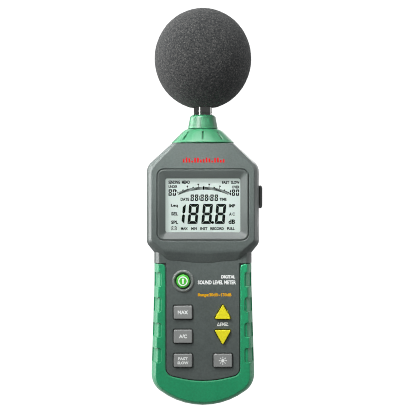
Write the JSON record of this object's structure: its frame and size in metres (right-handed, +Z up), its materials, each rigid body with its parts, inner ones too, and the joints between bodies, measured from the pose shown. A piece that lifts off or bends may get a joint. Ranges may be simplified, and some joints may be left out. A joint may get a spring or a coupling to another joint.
{
  "type": "sound level meter",
  "caption": "Hand-held sound level meter with a foam windscreen on its microphone, a display head and a rubber grip with keys.",
  "frame": {"origin": "mouth of the tripod socket, in the middle of its raised ring on the back", "axes": "+Z up along the microphone, +Y out of the back, +X to the right of someone who reads the display"},
  "size_m": [0.0804, 0.068, 0.2772],
  "materials": {
    "foam": "open-cell foam, matt",
    "grip_rubber": "soft-touch, satin",
    "nose_plastic": "fine texture, satin",
    "housing_plastic": "spark-eroded fine texture",
    "bezel_plastic": "satin",
    "lens": "clear, polished",
    "lcd": "glass over a pale reflector",
    "backlight": "milky",
    "black_plastic": "moulded",
    "black_rubber": "matt",
    "silicone": "matt",
    "key_plastic": "satin",
    "power_key": "satin",
    "arrow_key": "satin",
    "board": "solder mask",
    "tin": "tinned",
    "capacitor_sleeve": "shrink sleeve",
    "brass": "turned",
    "battery_skin": "plain printed steel",
    "red_wire": "insulation",
    "black_wire": "insulation",
    "tube_chrome": "polished nickel",
    "steel": "turned",
    "label": "blank foil label"
  },
  "bodies": {
    "meter": {"front_housing": "housing_plastic", "rear_housing": "housing_plastic", "grip_jacket": "grip_rubber", "tripod_insert": "brass", "rear_label": "label", "nose_cone": "nose_plastic", "mic_collar": "nose_plastic", "mic_tube": "tube_chrome", "mic_capsule": "steel", "mic_grid": "steel", "mic_lead": "black_wire", "display_bezel": "bezel_plastic", "display_lens": "lens", "lcd_glass": "lcd", "lcd_backlight": "backlight", "lcd_frame": "black_plastic", "zebra_strip_upper": "silicone", "zebra_strip_lower": "silicone", "power_key_collar": "housing_plastic", "keypad_mat": "silicone", "main_board": "board", "preamp_board": "board", "processor_chip": "black_plastic", "memory_chip": "black_plastic", "converter_chip": "black_plastic", "shield_can": "tin", "clock_crystal": "tin", "filter_capacitor_1": "capacitor_sleeve", "filter_capacitor_2": "capacitor_sleeve", "output_jack": "black_plastic", "trimmer_body": "black_plastic", "port_plate": "black_plastic", "battery": "battery_skin", "battery_terminal_positive": "tin", "battery_terminal_negative": "tin", "battery_snap": "black_rubber", "battery_lead_red": "red_wire", "battery_lead_black": "black_wire", "housing_screw_1": "steel", "housing_screw_2": "steel", "housing_screw_3": "steel", "housing_screw_4": "steel", "housing_screw_5": "steel", "housing_screw_6": "steel", "board_screw_1": "steel", "board_screw_2": "steel", "board_screw_3": "steel", "board_screw_4": "steel"},
    "windscreen": {"windscreen": "foam"},
    "port_cover": {"port_cover": "black_rubber"},
    "battery_door": {"battery_door": "housing_plastic"},
    "trimmer_rotor": {"trimmer_rotor": "brass"},
    "power_key": {"power_key": "power_key"},
    "max_key": {"max_key": "key_plastic"},
    "weighting_key": {"weighting_key": "key_plastic"},
    "response_key": {"response_key": "key_plastic"},
    "backlight_key": {"backlight_key": "key_plastic"},
    "level_up_key": {"level_up_key": "arrow_key"},
    "level_down_key": {"level_down_key": "arrow_key"}
  },
  "joints": [
    {"name": "windscreen_pull", "type": "slide", "parent": "meter", "child": "windscreen", "axis": [0, 0, 1], "range_m": [0, 0.045]},
    {"name": "port_cover_hinge", "type": "hinge", "parent": "meter", "child": "port_cover", "pos_m": [0.0397, -0.0123, 0.0201], "axis": [0, 0, 1], "range_deg": [0, 110]},
    {"name": "battery_door_hinge", "type": "hinge", "parent": "meter", "child": "battery_door", "pos_m": [0, -0.0013, -0.1031], "axis": [-1, 0, 0], "range_deg": [0, 70]},
    {"name": "trimmer_turn", "type": "hinge", "parent": "meter", "child": "trimmer_rotor", "pos_m": [0.035, -0.0208, 0.0164], "axis": [1, 0, 0], "range_deg": [-120, 120]},
    {"name": "power_key_press", "type": "slide", "parent": "meter", "child": "power_key", "axis": [0, 1, 0], "range_m": [0, 0.001], "stiffness_N_per_m": 400},
    {"name": "max_key_press", "type": "slide", "parent": "meter", "child": "max_key", "axis": [0, 1, 0], "range_m": [0, 0.001], "stiffness_N_per_m": 400},
    {"name": "weighting_key_press", "type": "slide", "parent": "meter", "child": "weighting_key", "axis": [0, 1, 0], "range_m": [0, 0.001], "stiffness_N_per_m": 400},
    {"name": "response_key_press", "type": "slide", "parent": "meter", "child": "response_key", "axis": [0, 1, 0], "range_m": [0, 0.001], "stiffness_N_per_m": 400},
    {"name": "backlight_key_press", "type": "slide", "parent": "meter", "child": "backlight_key", "axis": [0, 1, 0], "range_m": [0, 0.001], "stiffness_N_per_m": 400},
    {"name": "level_up_key_press", "type": "slide", "parent": "meter", "child": "level_up_key", "axis": [0, 1, 0], "range_m": [0, 0.001], "stiffness_N_per_m": 400},
    {"name": "level_down_key_press", "type": "slide", "parent": "meter", "child": "level_down_key", "axis": [0, 1, 0], "range_m": [0, 0.001], "stiffness_N_per_m": 400}
  ]
}
